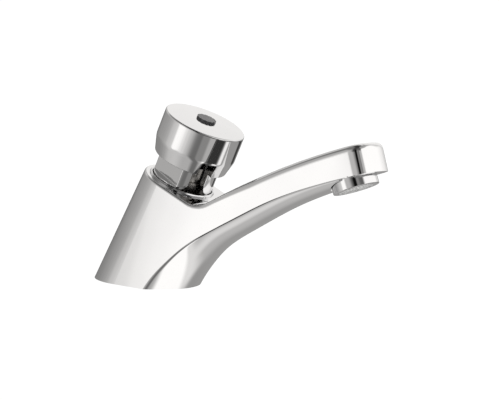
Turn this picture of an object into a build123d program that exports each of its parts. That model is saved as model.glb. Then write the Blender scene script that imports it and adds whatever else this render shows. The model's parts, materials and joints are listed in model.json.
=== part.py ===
from build123d import *
import math
import os

os.makedirs("parts", exist_ok=True)

# Push timed tap. Millimetres and degrees, +Z up, the spout along +X.
# The origin is on the inlet shank's axis, at the face of the deck.

# Leaning axis of the column, the cartridge and the push cap
lean_angle = 22.66
axis_foot_x = -5.56

# Heights along the leaning axis, from the deck
rim_level = 60.8
cap_top_level = 96.8

# Body casting
column_foot_radius = 25.0
column_rim_radius = 20.8
head_half_width = 14.68
reach = 126.5
outlet_height = 62.9
keel_foot_x = 26.6
valley_point_x = 42.7
valley_point_z = 45.7
valley_radius = 12.0

# Top of the spout: two places as shares of the reach and the outlet height
spout_top_mid_shares = (0.74, 1.1415)
spout_top_end_shares = (1.2016, 1.4595)

# Underside of the column and spout, from the foot to past the nose. The first
# places of its lowest line are shares of the foot's length ahead, and the
# others are shares of the way from there to the outlet and of its height. The
# radii of its bow are spread evenly along it.
foot_curve_shares = ((1.252, 0.391), (1.519, 0.707))
keel_shares = ((0.3544, 0.54), (0.6302, 0.79), (0.9049, 0.982), (1.3163, 1.23))
underside_radii = (33.0, 33.0, 43.0, 48.0, 45.0, 39.5, 37.0, 36.0, 36.0, 36.0)
keel_foot_drop = 14.0
keel_foot_slope = 62.0
underside_half_span = 28.0
underside_skin = 1.5
underside_section_count = 17
underside_section_bias = 1.6

# Spout head and the socket for the outlet fitting
outlet_tilt = 22.4
head_face_tilt = 18.5
head_face_lift = 5.5
nose_length = 15.8
nose_bow_radius = 45.0
nose_corner_radius = 5.5
head_pocket_back = 12.6
head_pocket_half_width = 20.0
head_pocket_depth = 16.0

# Outlet fitting
outlet_shell_radius = 11.6
outlet_thread_radius = 11.0
outlet_shoulder_lift = 7.0
outlet_thread_length = 5.4
outlet_shell_bore = 9.8
outlet_lip_bore = 9.1
outlet_lip_height = 0.9
outlet_lip_chamfer = 0.35
outlet_grid_height = 2.4
outlet_jet_height = 2.2
outlet_screen_height = 1.2
outlet_gap = 0.6
outlet_washer_height = 1.5
outlet_washer_bore = 7.4
grid_hole_radius = 0.62
grid_hole_pitch = 1.75
grid_ring_count = 5
jet_hole_radius = 0.6
jet_circle_radius = 6.8
jet_count = 24
screen_hole_radius = 0.5
screen_hole_pitch = 1.9
screen_ring_count = 4

# Waterways in the casting
waterway_radius = 5.6
waterway_start_share = 0.5
waterway_bend_x = 62.0
waterway_bend_z = 44.6
waterway_end_lift = 12.6
inlet_port_radius = 8.0
inlet_port_level = 8.0
chamber_radius = 15.0
chamber_floor_level = 22.0
bonnet_seat_level = 50.0
well_radius = 16.9

# Deck side of the casting
shank_socket_radius = 9.2
shank_socket_depth = 7.0
gasket_groove_depth = 2.0
gasket_width = 5.0
gasket_inset = 3.0
gasket_bow_inset = 2.0

# Inlet shank and its fixings under the deck
shank_neck_radius = 10.9
shank_neck_length = 8.0
shank_radius = 10.45
shank_length = 54.0
shank_bore = 6.5
shank_end_chamfer = 0.8
runout_groove_width = 0.8
runout_groove_depth = 0.4
spigot_length = 6.6
spigot_groove_level = 3.4
spigot_ring_wire = 0.9
deck_thickness = 28.0
rubber_washer_radius = 19.0
rubber_washer_height = 3.0
steel_washer_radius = 18.0
steel_washer_height = 1.5
washer_bore = 11.0
backnut_flats = 27.0
backnut_height = 6.5
locating_pin_radius = 1.5
locating_pin_gap = 2.0
locating_pin_length = 10.0
locating_pin_engagement = 5.0

# Trim ring in the mouth of the column
trim_ring_outer = 18.1
trim_ring_bore = 16.65
trim_ring_proud = 1.1
trim_ring_depth = 3.2
trim_ring_step = 0.5
trim_ring_step_height = 0.5

# Push cap
cap_radius = 22.0
cap_kink_depth = 15.0
cap_skirt_radius = 19.9
cap_skirt_depth = 23.2
cap_top_chamfer = 0.5
cap_dome_rise = 0.9
cap_sleeve_radius = 16.4
cap_sleeve_depth = 35.1
cap_sleeve_bore = 11.4
cap_ceiling_depth = 9.0
cap_flat_distance = 12.4
cap_flat_turn = -13.0
cap_foot_lip = 1.0
cap_slot_turn = -27.0
cap_slot_half_width = 4.6
cap_slot_top_depth = 15.3
cap_slot_corner = 1.2
cap_slot_mouth_radius = 5.0
cap_hole_radius = 5.3
cap_hole_depth = 5.8
cap_hub_radius = 8.0
cap_hub_drop = 6.8

# Plug and nut in the cap's centre hole
plug_radius = 5.2
plug_height = 5.0
plug_proud = 2.0
plug_tooth_count = 12
plug_tooth_radius = 0.45
cap_nut_radius = 5.0
cap_nut_height = 2.3

# Bonnet
bonnet_flange_radius = 16.2
bonnet_flange_height = 3.6
bonnet_thread_length = 12.0
bonnet_skirt_height = 7.6
bonnet_tower_radius = 11.0
bonnet_tower_top_level = 74.0
bonnet_neck_radius = 10.2
bonnet_neck_low_level = 65.4
bonnet_neck_high_level = 67.6
spring_chamber_radius = 8.6
spring_floor_level = 56.0
vent_hole_radius = 1.2
vent_hole_level = 70.4
vent_hole_turn = 10.0
bonnet_seal_wire = 1.0
flange_flat_distance = 15.2

# Timing cylinder, seat and moving parts inside it
cylinder_outer = 13.5
cylinder_bore = 11.0
window_radius = 2.2
window_level = 28.2
window_count = 4
seat_height = 3.5
seat_orifice = 5.0
seat_ring_wire = 0.8
spindle_radius = 4.0
spindle_stem_radius = 2.6
spindle_top_level = 93.6
stem_top_level = 30.0
valve_washer_radius = 6.6
valve_washer_height = 2.5
valve_nut_radius = 4.6
valve_nut_height = 2.2
spindle_tip = 0.8
piston_height = 4.5
piston_low_level = 36.8
piston_seal_height = 2.2
piston_seal_groove = 1.0
piston_seal_lip = 0.9
clip_height = 1.0
clip_radius = 6.2
clip_gap_half_width = 1.1
spindle_seal_wire = 1.1
spindle_seal_level = 49.0
needle_radius = 1.2
needle_low_level = 47.0
needle_top_level = 92.4
filter_radius = 7.7
filter_height = 1.6
filter_hole_radius = 0.55
filter_hole_pitch = 1.6
filter_ring_count = 4

# Return spring
spring_mean_radius = 6.4
spring_wire_radius = 0.75
spring_turns = 7
spring_cup_radius = 8.2
spring_cup_height = 1.2
spring_end_gap = 0.1
quarters_in_turn = 4

# Shared clearances
running_gap = 0.05
free_gap = 0.3
thread_gap = 0.05
overrun = 2.0


def direction(angle_from_vertical):
    turn = math.radians(angle_from_vertical)
    return Vector(math.sin(turn), 0, math.cos(turn))


def forward(angle_from_vertical):
    turn = math.radians(angle_from_vertical)
    return Vector(math.cos(turn), 0, -math.sin(turn))


stand_beside = (Align.MIN, Align.CENTER, Align.MIN)
stand_across = (Align.MIN, Align.CENTER, Align.CENTER)
lean_frame = Plane(origin=(axis_foot_x, 0, 0), x_dir=forward(lean_angle), z_dir=direction(lean_angle))
outlet_frame = Plane(
    origin=(reach, 0, outlet_height), x_dir=forward(-outlet_tilt), z_dir=direction(-outlet_tilt)
)


head_frame = Plane(
    origin=outlet_frame.origin + outlet_frame.z_dir * head_face_lift,
    x_dir=forward(-head_face_tilt),
    z_dir=direction(-head_face_tilt),
)


def on_axis(level):
    return lean_frame.origin + lean_frame.z_dir * level


def turned(*points):
    """A solid turned about the local Z axis from a closed outline of (radius, height) points."""
    outline = Polyline(*[(r, 0, z) for r, z in points], close=True)
    return revolve(make_face(outline), Axis.Z)


def tube(outer, inner, low, high):
    return turned((inner, low), (outer, low), (outer, high), (inner, high))


def rod(radius, low, high):
    return Pos(0, 0, low) * Cylinder(radius, high - low, align=(Align.CENTER, Align.CENTER, Align.MIN))


def ring(centre_radius, wire, level):
    """A round sealing ring about the local Z axis."""
    return Pos(0, 0, level) * Torus(centre_radius, wire)


def groove(outer, inner, wire, level):
    """A square groove for a sealing ring, a little wider than its wire."""
    half = wire + free_gap / 2
    return tube(outer, inner, level - half, level + half)


def hole_places(pitch, ring_count):
    """Centres of a hexagonal field of holes: one in the middle, six more in each ring."""
    places = [(0, 0)]
    for ring_number in range(1, ring_count):
        count = 6 * ring_number
        for step in range(count):
            turn = 2 * math.pi * step / count
            places.append((ring_number * pitch * math.cos(turn), ring_number * pitch * math.sin(turn)))
    return places


def field_of_holes(places, radius, low, high):
    return Pos(0, 0, low) * extrude(Sketch() + [Pos(x, y) * Circle(radius) for x, y in places], high - low)


# Body casting


def column_radius(level):
    """The column narrows evenly from the deck to the rim and on past it."""
    taper = (column_foot_radius - column_rim_radius) / rim_level
    return column_foot_radius - taper * level


def flank_outline(level, length):
    """Round back and two gently bowed flanks, in the plane square to the leaning axis."""
    half = column_radius(level)
    outlet = outlet_frame.origin - lean_frame.origin
    narrowing = column_radius(outlet.dot(lean_frame.z_dir)) - head_half_width
    bow_end = narrowing * (length / outlet.dot(lean_frame.x_dir)) ** 2
    bow_mid = bow_end / 4
    back = ThreePointArc((0, half), (-half, 0), (0, -half))
    near = ThreePointArc((0, -half), (length / 2, bow_mid - half), (length, bow_end - half))
    end = Line((length, bow_end - half), (length, half - bow_end))
    far = ThreePointArc((length, half - bow_end), (length / 2, half - bow_mid), (0, half))
    plane = Plane(origin=on_axis(level), x_dir=lean_frame.x_dir, z_dir=lean_frame.z_dir)
    return plane * make_face(Wire([back, near, end, far]))


def flank_solid():
    low = -column_foot_radius
    high = cap_top_level + column_foot_radius * 2
    length = reach + column_foot_radius
    return loft([flank_outline(low, length), flank_outline(high, length)], ruled=True)


def keel_curve():
    """The lowest line of the underside, from below the foot to past the nose."""
    span = reach - keel_foot_x
    back = keel_foot_drop / math.tan(math.radians(keel_foot_slope))
    points = [(keel_foot_x - back, 0, -keel_foot_drop), (keel_foot_x, 0, 0)]
    points += [(x * keel_foot_x, 0, z * keel_foot_x) for x, z in foot_curve_shares]
    points += [(keel_foot_x + x * span, 0, z * outlet_height) for x, z in keel_shares]
    return Spline(*points)


def radius_at(share):
    """The underside radius at a share of the keel, read between the listed ones."""
    place = share * (len(underside_radii) - 1)
    step = min(int(place), len(underside_radii) - 2)
    return underside_radii[step] + (place - step) * (underside_radii[step + 1] - underside_radii[step])


def underside_section(keel, share):
    """One slice square to the keel of what is cut away under the bow."""
    radius = radius_at(share)
    rise = radius - math.sqrt(radius**2 - underside_half_span**2)
    half = underside_half_span
    low = -underside_skin
    bow = ThreePointArc((-half, rise), (0, 0), (half, rise))
    sides = Polyline((half, rise), (half, low), (-half, low), (-half, rise))
    plane = Plane(origin=keel @ share, x_dir=(0, 1, 0), z_dir=keel % share)
    return plane * make_face(Wire([bow] + sides.edges()))


def underside_cut():
    """Straight cut up to the keel, then the bow from the keel up to the flanks."""
    keel = keel_curve()
    first, last = keel @ 0, keel @ 1
    below = Polyline(last, (last.X, 0, first.Z - overrun), (first.X, 0, first.Z - overrun), first)
    straight = make_face(Wire([keel] + below.edges()))
    count = underside_section_count - 1
    shares = [(n / count) ** underside_section_bias for n in range(count + 1)]
    bow = loft([underside_section(keel, share) for share in shares])
    return extrude(straight, underside_half_span, dir=(0, 1, 0), both=True) + bow


def side_solid():
    """Everything below the rim and the top of the spout and above the deck."""
    rim_back = on_axis(rim_level) - lean_frame.x_dir * column_foot_radius * 3
    valley = Vector(valley_point_x, 0, valley_point_z)
    spout_end = Vector(spout_top_end_shares[0] * reach, 0, spout_top_end_shares[1] * outlet_height)
    spout_mid = Vector(spout_top_mid_shares[0] * reach, 0, spout_top_mid_shares[1] * outlet_height)
    rim_line = Line(rim_back, valley)
    spout_top = ThreePointArc(valley, spout_mid, spout_end)
    below = Polyline(spout_end, (spout_end.X, 0, 0), (rim_back.X, 0, 0), rim_back)
    profile = make_face(Wire([rim_line, spout_top] + below.edges()))
    corner = profile.vertices().sort_by_distance(valley)[0]
    profile = fillet(corner, valley_radius)
    return extrude(profile, column_foot_radius * 2, dir=(0, 1, 0), both=True)


def nose_solid():
    """A long block whose bowed front is the nose, its walls square to the head's face."""
    half = column_foot_radius * 2
    length = reach * 2
    depth = outlet_height * 2
    drop = nose_bow_radius - math.sqrt(nose_bow_radius**2 - (half / 2) ** 2)
    front = ThreePointArc((nose_length - drop, -half / 2), (nose_length, 0), (nose_length - drop, half / 2))
    back = Polyline(
        (nose_length - drop, half / 2), (-length, half), (-length, -half), (nose_length - drop, -half / 2)
    )
    face = make_face(Wire([front] + back.edges()))
    return head_frame * extrude(face, depth, both=True)


def head_pocket():
    """Cuts the underside of the head flat, from behind the outlet fitting out past the nose."""
    length = nose_length * 2 + head_pocket_back
    front = Rectangle(length, head_pocket_half_width * 2, align=(Align.MIN, Align.CENTER))
    return head_frame * extrude(Pos(-head_pocket_back, 0) * front, -head_pocket_depth)


def base_back(inset):
    return axis_foot_x - column_foot_radius / math.cos(math.radians(lean_angle)) + inset


def pin_place():
    """The locating pin stands just inside the gasket, at the back."""
    return base_back(gasket_inset + gasket_width) + locating_pin_gap + locating_pin_radius


def base_outline(inset):
    """The gasket's outline under the foot: a round back and a bowed front, drawn in by an inset."""
    half = column_foot_radius - inset
    back = base_back(inset)
    front = keel_foot_x - inset - gasket_bow_inset
    sides = axis_foot_x + column_foot_radius / 2
    rear = ThreePointArc((axis_foot_x, half), (back, 0), (axis_foot_x, -half))
    near = Line((axis_foot_x, -half), (sides, -half))
    nose = ThreePointArc((sides, -half), (front, 0), (sides, half))
    far = Line((sides, half), (axis_foot_x, half))
    return make_face(Wire([rear, near, nose, far]))


def base_ring(low, high, inset, width):
    outer = base_outline(inset)
    inner = base_outline(inset + width)
    return Pos(0, 0, low) * extrude(outer - inner, high - low)


def waterway():
    """Chamber to spout to head: two straight bores that meet in a ball at the bend."""
    start = on_axis(chamber_floor_level + (bonnet_seat_level - chamber_floor_level) * waterway_start_share)
    bend = Vector(waterway_bend_x, 0, waterway_bend_z)
    end = outlet_frame.origin + outlet_frame.z_dir * waterway_end_lift
    cuts = Part() + Pos(*bend) * Sphere(waterway_radius)
    for first, last in ((start, bend), (bend, end)):
        plane = Plane(origin=first, z_dir=last - first)
        cuts += plane * rod(waterway_radius, 0, (last - first).length)
    return cuts


def body_bores():
    lean_bores = (
        rod(inlet_port_radius, inlet_port_level, chamber_floor_level + overrun)
        + rod(chamber_radius + thread_gap, chamber_floor_level, bonnet_seat_level + overrun)
        + rod(well_radius, bonnet_seat_level, rim_level + overrun)
        + rod(trim_ring_outer, rim_level - trim_ring_depth, rim_level + overrun)
    )
    socket = rod(outlet_shell_radius + running_gap, -overrun, outlet_shoulder_lift)
    top = outlet_shoulder_lift + outlet_thread_length + outlet_washer_height
    socket += rod(outlet_thread_radius + thread_gap, outlet_shoulder_lift - overrun, top)
    shank_socket = rod(shank_socket_radius + thread_gap, -overrun, shank_socket_depth)
    pin_hole = Pos(pin_place(), 0) * rod(locating_pin_radius, -overrun, locating_pin_engagement)
    return lean_frame * lean_bores + outlet_frame * socket + shank_socket + pin_hole + waterway()


def nose_edges(shape):
    """The two upright edges where the flanks meet the nose."""
    limit = reach + nose_length / 2
    front = shape.edges().filter_by(lambda e: e.center().X > limit)
    outer = front.filter_by(lambda e: abs(e.center().Y) > nose_corner_radius)
    return outer.filter_by(lambda e: abs(e.tangent_at(0.5).Z) > abs(e.tangent_at(0.5).X))


def make_body():
    block = flank_solid() & nose_solid()
    block = fillet(nose_edges(block), nose_corner_radius)
    block = block & side_solid()
    block -= underside_cut()
    block -= head_pocket()
    groove = base_ring(-overrun, gasket_groove_depth, gasket_inset, gasket_width)
    return block - body_bores() - groove


# Trim ring, bonnet and the fixed parts of the cartridge


def make_trim_ring():
    low = rim_level - trim_ring_depth
    high = rim_level + trim_ring_proud
    step = trim_ring_outer - trim_ring_step
    profile = (
        (trim_ring_bore, low),
        (trim_ring_outer, low),
        (trim_ring_outer, rim_level + trim_ring_step_height),
        (step, high),
        (trim_ring_bore + trim_ring_step, high),
        (trim_ring_bore, high - trim_ring_step),
    )
    return lean_frame * turned(*profile)


def bonnet_levels():
    skirt = bonnet_seat_level - bonnet_thread_length
    partition = skirt + bonnet_skirt_height
    flange_top = bonnet_seat_level + bonnet_flange_height
    return skirt, partition, flange_top


def make_bonnet():
    skirt, partition, flange_top = bonnet_levels()
    outline = (
        (cylinder_outer + thread_gap, skirt),
        (chamber_radius, skirt),
        (chamber_radius, bonnet_seat_level),
        (bonnet_flange_radius, bonnet_seat_level),
        (bonnet_flange_radius, flange_top),
        (bonnet_tower_radius, flange_top),
        (bonnet_tower_radius, bonnet_neck_low_level),
        (bonnet_neck_radius, bonnet_neck_low_level + free_gap),
        (bonnet_neck_radius, bonnet_neck_high_level),
        (bonnet_tower_radius, bonnet_neck_high_level + free_gap),
        (bonnet_tower_radius, bonnet_tower_top_level),
        (spring_chamber_radius, bonnet_tower_top_level),
        (spring_chamber_radius, spring_floor_level),
        (spindle_radius + running_gap, spring_floor_level),
        (spindle_radius + running_gap, partition),
        (cylinder_outer + thread_gap, partition),
    )
    shape = turned(*outline)
    depth = spindle_radius + spindle_seal_wire * 2
    shape -= groove(depth, spindle_radius, spindle_seal_wire, spindle_seal_level)
    depth = chamber_radius - bonnet_seal_wire * 2
    shape -= groove(chamber_radius + overrun, depth, bonnet_seal_wire, bonnet_seal_level())
    vent = Rot(0, 0, vent_hole_turn) * Pos(0, 0, vent_hole_level) * Rot(0, 90, 0)
    shape -= vent * rod(vent_hole_radius, spring_chamber_radius - overrun, bonnet_tower_radius + overrun)
    side = bonnet_flange_radius - flange_flat_distance + overrun
    for turn in range(0, 360, 60):
        block = Box(side, bonnet_flange_radius * 2, bonnet_flange_height, align=stand_beside)
        shape -= Rot(0, 0, turn) * Pos(flange_flat_distance, 0, bonnet_seat_level) * block
    return lean_frame * shape


def bonnet_seal_level():
    return bonnet_seat_level - bonnet_seal_wire * 2


def make_bonnet_seal():
    return lean_frame * ring(chamber_radius - bonnet_seal_wire, bonnet_seal_wire, bonnet_seal_level())


def make_spindle_seal():
    shape = ring(spindle_radius + spindle_seal_wire, spindle_seal_wire, spindle_seal_level)
    return lean_frame * (shape - rod(spindle_radius + running_gap, 0, bonnet_seat_level))


def make_timing_cylinder():
    partition = bonnet_levels()[1]
    shape = tube(cylinder_outer, cylinder_bore, chamber_floor_level, partition)
    for step in range(window_count):
        turn = Rot(0, 0, 360 * step / window_count)
        window = Rot(0, 90, 0) * rod(window_radius, 0, cylinder_outer + overrun)
        shape -= turn * Pos(0, 0, window_level) * window
    return lean_frame * shape


def make_valve_seat():
    high = chamber_floor_level + seat_height
    shape = tube(cylinder_bore, seat_orifice, chamber_floor_level, high)
    depth = cylinder_bore - seat_ring_wire * 2
    level = chamber_floor_level + seat_height / 2
    return lean_frame * (shape - groove(cylinder_bore + overrun, depth, seat_ring_wire, level))


def make_seat_ring():
    level = chamber_floor_level + seat_height / 2
    return lean_frame * ring(cylinder_bore - seat_ring_wire, seat_ring_wire, level)


def make_inlet_filter():
    low = spigot_length - filter_height
    places = hole_places(filter_hole_pitch, filter_ring_count)
    holes = field_of_holes(places, filter_hole_radius, low - overrun, spigot_length + overrun)
    return rod(filter_radius, low, spigot_length) - holes


# Push cap and what moves with it


def cap_level(depth):
    return cap_top_level - depth


def make_cap_blank():
    """The turned outside and bore of the cap, about the leaning axis, its crown slightly domed."""
    bottom = cap_level(cap_sleeve_depth)
    ledge = cap_level(cap_skirt_depth)
    ceiling = cap_level(cap_ceiling_depth)
    hub = ceiling - cap_hub_drop
    middle = cap_top_level + cap_dome_rise
    edge = (cap_radius - cap_top_chamfer, 0, cap_top_level)
    half_way = cap_radius / 2
    crown = ThreePointArc((0, 0, middle), (half_way, 0, middle - cap_dome_rise / 4), edge)
    sides = Polyline(
        edge,
        (cap_radius, 0, cap_top_level - cap_top_chamfer),
        (cap_radius, 0, cap_level(cap_kink_depth)),
        (cap_skirt_radius, 0, ledge),
        (cap_sleeve_radius, 0, ledge),
        (cap_sleeve_radius, 0, bottom),
        (cap_sleeve_bore, 0, bottom),
        (cap_sleeve_bore, 0, ceiling),
        (cap_hub_radius, 0, ceiling),
        (cap_hub_radius, 0, hub),
        (0, 0, hub),
        (0, 0, middle),
    )
    return revolve(make_face(Wire([crown] + sides.edges())), Axis.Z)


def cap_flats():
    """Two flats below the skirt, a wrench's width apart, over a round lip at the sleeve's end."""
    depth = cap_sleeve_depth - cap_foot_lip - cap_skirt_depth
    block = Box(cap_radius * 2, cap_radius, depth, align=(Align.CENTER, Align.MIN, Align.MIN))
    place = Pos(0, cap_flat_distance, cap_level(cap_sleeve_depth - cap_foot_lip))
    return [Rot(0, 0, turn + cap_flat_turn) * place * block for turn in (0, 180)]


def cap_slot():
    """A slot milled straight through the skirt, with round corners above and flared lips below."""
    half = cap_slot_half_width
    lip = cap_slot_mouth_radius
    low = cap_level(cap_sleeve_depth)
    high = cap_level(cap_slot_top_depth)
    lip_mid = lip * (1 - math.sqrt(0.5))
    sides = [
        Line((0, -half, low + lip), (0, -half, high)),
        Line((0, -half, high), (0, half, high)),
        Line((0, half, high), (0, half, low + lip)),
        ThreePointArc((0, half, low + lip), (0, half + lip_mid, low + lip_mid), (0, half + lip, low)),
        Line((0, half + lip, low), (0, half + lip, low - overrun)),
        Line((0, half + lip, low - overrun), (0, -half - lip, low - overrun)),
        Line((0, -half - lip, low - overrun), (0, -half - lip, low)),
        ThreePointArc((0, -half - lip, low), (0, -half - lip_mid, low + lip_mid), (0, -half, low + lip)),
    ]
    face = make_face(Wire(sides))
    corners = face.vertices().group_by(Axis.Z)[-1]
    face = fillet(corners, cap_slot_corner)
    return Rot(0, 0, cap_slot_turn) * extrude(face, cap_radius * 2, dir=(1, 0, 0), both=True)


def make_push_cap():
    hub = cap_level(cap_ceiling_depth) - cap_hub_drop
    guard = rod(cap_sleeve_bore, hub - overrun, cap_top_level)
    shape = make_cap_blank() - (cap_slot() - guard)
    for flat in cap_flats():
        shape -= flat
    shape -= rod(cap_hole_radius, cap_level(cap_hole_depth), cap_top_level + overrun)
    shape -= rod(spindle_radius, hub - overrun, cap_top_level)
    return lean_frame * shape


def make_index_plug():
    """A dark plug, its edge cut by a ring of small round teeth."""
    top = cap_level(-plug_proud)
    shape = rod(plug_radius, top - plug_height, top)
    teeth = Sketch()
    for step in range(plug_tooth_count):
        turn = 2 * math.pi * step / plug_tooth_count
        teeth += Pos(plug_radius * math.cos(turn), plug_radius * math.sin(turn)) * Circle(plug_tooth_radius)
    shape -= Pos(0, 0, top - plug_height) * extrude(teeth, plug_height)
    return lean_frame * shape


def make_cap_nut():
    low = cap_level(cap_hole_depth)
    return lean_frame * tube(cap_nut_radius, spindle_radius, low, low + cap_nut_height)


def make_spindle():
    tip = chamber_floor_level - valve_washer_height - valve_nut_height - spindle_tip
    outline = (
        (0, tip),
        (spindle_stem_radius, tip),
        (spindle_stem_radius, stem_top_level),
        (spindle_radius, stem_top_level),
        (spindle_radius, spindle_top_level),
        (0, spindle_top_level),
    )
    return lean_frame * (turned(*outline) - rod(needle_radius, needle_low_level, spindle_top_level))


def make_timing_needle():
    return lean_frame * rod(needle_radius, needle_low_level, needle_top_level)


def make_spring_cup():
    hub = cap_level(cap_ceiling_depth) - cap_hub_drop
    return lean_frame * tube(spring_cup_radius, spindle_radius, hub - spring_cup_height, hub)


def make_piston():
    high = piston_low_level + piston_height
    return lean_frame * tube(cylinder_bore - running_gap, spindle_radius, piston_low_level, high)


def make_piston_seal():
    low = piston_low_level + piston_height
    high = low + piston_seal_height
    edge = cylinder_bore - running_gap
    outline = (
        (spindle_radius, low),
        (edge - piston_seal_lip, low),
        (edge, high),
        (edge - piston_seal_lip, high),
        (edge - piston_seal_lip - piston_seal_groove, low + piston_seal_height / 2),
        (spindle_radius + piston_seal_groove * 3, low + piston_seal_height / 2),
        (spindle_radius + piston_seal_groove * 3, high),
        (spindle_radius, high),
    )
    return lean_frame * turned(*outline)


def make_piston_clip():
    low = piston_low_level + piston_height + piston_seal_height
    shape = tube(clip_radius, spindle_radius, low, low + clip_height)
    gap = Box(clip_radius * 2, clip_gap_half_width * 2, clip_height * 3, align=stand_across)
    return lean_frame * (shape - Pos(0, 0, low) * gap)


def make_valve_washer():
    low = chamber_floor_level - valve_washer_height
    return lean_frame * tube(valve_washer_radius, spindle_stem_radius, low, chamber_floor_level)


def make_valve_nut():
    high = chamber_floor_level - valve_washer_height
    shape = tube(valve_nut_radius, spindle_stem_radius, high - valve_nut_height, high)
    hexagon = extrude(RegularPolygon(valve_nut_radius, 6), valve_nut_height)
    return lean_frame * (shape & Pos(0, 0, high - valve_nut_height) * hexagon)


def biarc(start, start_way, end, end_way):
    """Two arcs that leave and arrive along the given ways and meet smoothly between."""
    span = end - start
    ways = start_way + end_way
    bend = 2 * (1 - start_way.dot(end_way))
    reach_out = (math.sqrt(span.dot(ways) ** 2 + bend * span.dot(span)) - span.dot(ways)) / bend
    middle = (start + end + (start_way - end_way) * reach_out) * 0.5
    first = Edge.make_tangent_arc(start, start_way, middle)
    second = Edge.make_tangent_arc(middle, first.tangent_at(1), end)
    return [first, second]


def helix_point(turn_count, low, pitch):
    turn = 2 * math.pi * turn_count
    side = spring_mean_radius * math.cos(turn)
    return Vector(side, spring_mean_radius * math.sin(turn), low + pitch * turn_count)


def helix_way(turn_count, pitch):
    turn = 2 * math.pi * turn_count
    rate = 2 * math.pi * spring_mean_radius
    return Vector(-rate * math.sin(turn), rate * math.cos(turn), pitch).normalized()


def make_return_spring():
    """One round wire, wound as an even helix between the bonnet's floor and the spring cup."""
    low = spring_floor_level + spring_wire_radius + spring_end_gap
    cup = cap_level(cap_ceiling_depth) - cap_hub_drop - spring_cup_height
    high = cup - spring_wire_radius - spring_end_gap
    pitch = (high - low) / spring_turns
    print("spring gap between turns", round(pitch - 2 * spring_wire_radius, 2))
    edges = []
    for quarter in range(spring_turns * quarters_in_turn):
        first = quarter / quarters_in_turn
        last = (quarter + 1) / quarters_in_turn
        start, end = helix_point(first, low, pitch), helix_point(last, low, pitch)
        edges += biarc(start, helix_way(first, pitch), end, helix_way(last, pitch))
    path = Wire(edges)
    end_plane = Plane(origin=helix_point(0, low, pitch), z_dir=helix_way(0, pitch))
    section = end_plane * Circle(spring_wire_radius)
    return lean_frame * sweep(section, path)


# Outlet fitting in the head


def outlet_levels():
    """Heights of the layers in the outlet fitting, from its open end."""
    grid = outlet_lip_height
    jets = grid + outlet_grid_height + outlet_gap
    screen = jets + outlet_jet_height + outlet_gap
    top = outlet_shoulder_lift + outlet_thread_length
    return grid, jets, screen, top


def make_outlet_shell():
    top = outlet_levels()[3]
    outline = (
        (outlet_lip_bore, 0),
        (outlet_shell_radius - outlet_lip_chamfer, 0),
        (outlet_shell_radius, outlet_lip_chamfer),
        (outlet_shell_radius, outlet_shoulder_lift),
        (outlet_thread_radius, outlet_shoulder_lift),
        (outlet_thread_radius, top),
        (outlet_shell_bore, top),
        (outlet_shell_bore, outlet_lip_height),
        (outlet_lip_bore, outlet_lip_height),
    )
    return outlet_frame * turned(*outline)


def make_outlet_grid():
    low = outlet_levels()[0]
    places = hole_places(grid_hole_pitch, grid_ring_count)
    holes = field_of_holes(places, grid_hole_radius, -overrun, outlet_grid_height + overrun)
    return outlet_frame * Pos(0, 0, low) * (rod(outlet_shell_bore, 0, outlet_grid_height) - holes)


def make_jet_plate():
    """A cup with one ring of fine jets, standing on the grid."""
    jets = outlet_levels()[1]
    low = jets - outlet_gap
    high = jets + outlet_jet_height
    shape = tube(outlet_shell_bore, jet_circle_radius + jet_hole_radius * 2, low, high)
    shape += rod(outlet_shell_bore, jets, high)
    places = []
    for step in range(jet_count):
        turn = 2 * math.pi * step / jet_count
        places.append((jet_circle_radius * math.cos(turn), jet_circle_radius * math.sin(turn)))
    return outlet_frame * (shape - field_of_holes(places, jet_hole_radius, low - overrun, high + overrun))


def make_outlet_screen():
    """The inlet sieve on top of the jet plate, held by a rim."""
    screen = outlet_levels()[2]
    high = screen + outlet_screen_height
    shape = tube(outlet_shell_bore, outlet_lip_bore, screen - outlet_gap, high)
    plate = rod(outlet_lip_bore, screen, high)
    places = hole_places(screen_hole_pitch, screen_ring_count)
    holes = field_of_holes(places, screen_hole_radius, screen - overrun, high + overrun)
    return outlet_frame * (shape + (plate - holes))


def make_outlet_washer():
    top = outlet_levels()[3]
    return outlet_frame * tube(outlet_thread_radius, outlet_washer_bore, top, top + outlet_washer_height)


# Inlet shank and deck fixings


def make_inlet_shank():
    low = -shank_length
    nut_low = -deck_thickness - rubber_washer_height - steel_washer_height - backnut_height
    runout = nut_low - free_gap
    outline = (
        (shank_bore, low),
        (shank_radius - shank_end_chamfer, low),
        (shank_radius, low + shank_end_chamfer),
        (shank_radius, runout - runout_groove_width),
        (shank_radius - runout_groove_depth, runout - runout_groove_width),
        (shank_radius - runout_groove_depth, runout),
        (shank_radius, runout),
        (shank_radius, -shank_neck_length),
        (shank_neck_radius, -shank_neck_length),
        (shank_neck_radius, 0),
        (shank_socket_radius, 0),
        (shank_socket_radius, spigot_length),
        (filter_radius, spigot_length),
        (filter_radius, spigot_length - filter_height),
        (shank_bore, spigot_length - filter_height),
    )
    shape = turned(*outline)
    depth = shank_socket_radius - spigot_ring_wire * 2
    return shape - groove(shank_socket_radius + overrun, depth, spigot_ring_wire, spigot_groove_level)


def make_shank_seal():
    return ring(shank_socket_radius - spigot_ring_wire, spigot_ring_wire, spigot_groove_level)


def make_base_gasket():
    return base_ring(0, gasket_groove_depth, gasket_inset, gasket_width)


def make_rubber_washer():
    return tube(rubber_washer_radius, washer_bore, -deck_thickness - rubber_washer_height, -deck_thickness)


def make_steel_washer():
    top = -deck_thickness - rubber_washer_height
    return tube(steel_washer_radius, washer_bore, top - steel_washer_height, top)


def make_backnut():
    top = -deck_thickness - rubber_washer_height - steel_washer_height
    hexagon = RegularPolygon(backnut_flats / 2, 6, major_radius=False)
    shape = Pos(0, 0, top - backnut_height) * extrude(hexagon, backnut_height)
    return shape - rod(shank_radius + thread_gap, top - backnut_height - overrun, top + overrun)


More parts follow.
